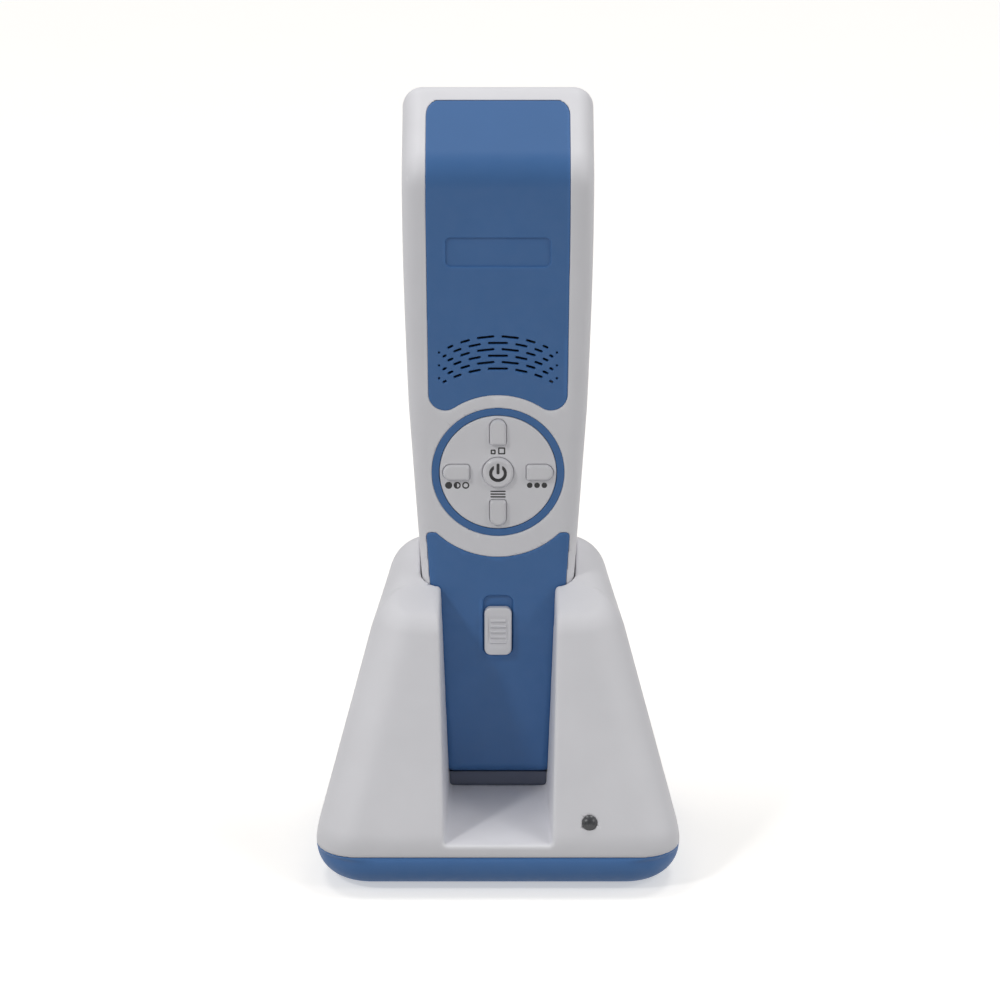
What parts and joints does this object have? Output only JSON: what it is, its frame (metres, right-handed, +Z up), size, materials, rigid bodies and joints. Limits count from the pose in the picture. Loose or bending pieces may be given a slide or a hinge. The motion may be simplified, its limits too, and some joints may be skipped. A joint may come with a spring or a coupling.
{
  "type": "low vision magnifier",
  "caption": "Handheld electronic low vision magnifier with a ring of buttons and a slide switch, standing upright in a weighted charging dock.",
  "frame": {"origin": "centre of the dock's footprint, on the underside of its non-slip pad, which is the surface it stands on", "axes": "+X to the user's right as they face the buttons, +Y to the back, +Z up"},
  "size_m": [0.119, 0.1136, 0.2453],
  "materials": {
    "white_shell": "fine satin moulded ABS, light grey-white",
    "blue_base": "fine satin moulded ABS, mid blue",
    "blue_panel": "fine-grained moulded ABS, mid blue",
    "keypad_plate": "satin moulded ABS, light grey-white",
    "button_white": "satin moulded ABS with rounded edges",
    "seat_slate": "satin moulded nylon, dark slate",
    "rubber_pad": "matt non-slip rubber sheet",
    "silicone_mat": "translucent silicone",
    "glide_strip": "low-friction moulded strip",
    "steel": "plated steel",
    "ballast_steel": "zinc-plated steel plate",
    "contact_gold": "gold-plated brass",
    "switch_metal": "stamped steel can",
    "circuit_board": "glass-epoxy board with green solder mask",
    "light_board_white": "board with white solder mask",
    "led_phosphor": "white lamp with phosphor dome",
    "led_body": "epoxy lamp body",
    "smoked_lens": "smoked glossy dome",
    "speaker_black": "moulded frame and paper cone",
    "battery_wrap": "foil pouch cell in film",
    "lens_black": "black moulded lens barrel",
    "lens_glass": "coated lens",
    "bracket_black": "black glass-filled nylon",
    "clear_window": "clear acrylic pane"
  },
  "bodies": {
    "dock": {"dock_shell": "white_shell", "dock_base": "blue_base", "non_slip_pad": "rubber_pad", "dock_screws": "steel", "ballast_plate": "ballast_steel", "dock_board": "circuit_board", "charge_seat": "seat_slate", "status_led": "led_body", "led_lens": "smoked_lens", "power_inlet": "steel"},
    "handset": {"front_shell": "white_shell", "rear_shell": "white_shell", "upper_panel": "blue_panel", "grip_panel": "blue_panel", "control_ring": "blue_panel", "keypad_plate": "keypad_plate", "button_mat": "silicone_mat", "control_board": "circuit_board", "key_switches": "switch_metal", "switch_body": "switch_metal", "speaker": "speaker_black", "battery": "battery_wrap", "main_board": "circuit_board", "camera_board": "circuit_board", "lens_barrel": "lens_black", "lens_glass": "lens_glass", "camera_bracket": "bracket_black", "light_boards": "light_board_white", "light_leds": "led_phosphor", "viewing_window": "clear_window", "glide_strips": "glide_strip", "charge_contacts": "contact_gold", "shell_screws": "steel"},
    "contact_pins": {"spring_pins": "contact_gold"},
    "power_button": {"power_button": "button_white"},
    "up_button": {"up_button": "button_white"},
    "down_button": {"down_button": "button_white"},
    "left_button": {"left_button": "button_white"},
    "right_button": {"right_button": "button_white"},
    "slide_switch": {"switch_knob": "button_white"}
  },
  "joints": [
    {"name": "handset_lift", "type": "slide", "parent": "dock", "child": "handset", "axis": [0, 0.0872, 0.9962], "range_m": [0, 0.09]},
    {"name": "pins_press", "type": "slide", "parent": "dock", "child": "contact_pins", "axis": [0, -0.0872, -0.9962], "range_m": [0, 0.0008], "stiffness_N_per_m": 500},
    {"name": "power_press", "type": "slide", "parent": "handset", "child": "power_button", "axis": [0, 0.9962, -0.0872], "range_m": [0, 0.0008], "stiffness_N_per_m": 500},
    {"name": "up_press", "type": "slide", "parent": "handset", "child": "up_button", "axis": [0, 0.9962, -0.0872], "range_m": [0, 0.0008], "stiffness_N_per_m": 500},
    {"name": "down_press", "type": "slide", "parent": "handset", "child": "down_button", "axis": [0, 0.9962, -0.0872], "range_m": [0, 0.0008], "stiffness_N_per_m": 500},
    {"name": "left_press", "type": "slide", "parent": "handset", "child": "left_button", "axis": [0, 0.9962, -0.0872], "range_m": [0, 0.0008], "stiffness_N_per_m": 500},
    {"name": "right_press", "type": "slide", "parent": "handset", "child": "right_button", "axis": [0, 0.9962, -0.0872], "range_m": [0, 0.0008], "stiffness_N_per_m": 500},
    {"name": "switch_slide", "type": "slide", "parent": "handset", "child": "slide_switch", "axis": [0, 0.0872, 0.9962], "range_m": [0, 0.0033]}
  ]
}
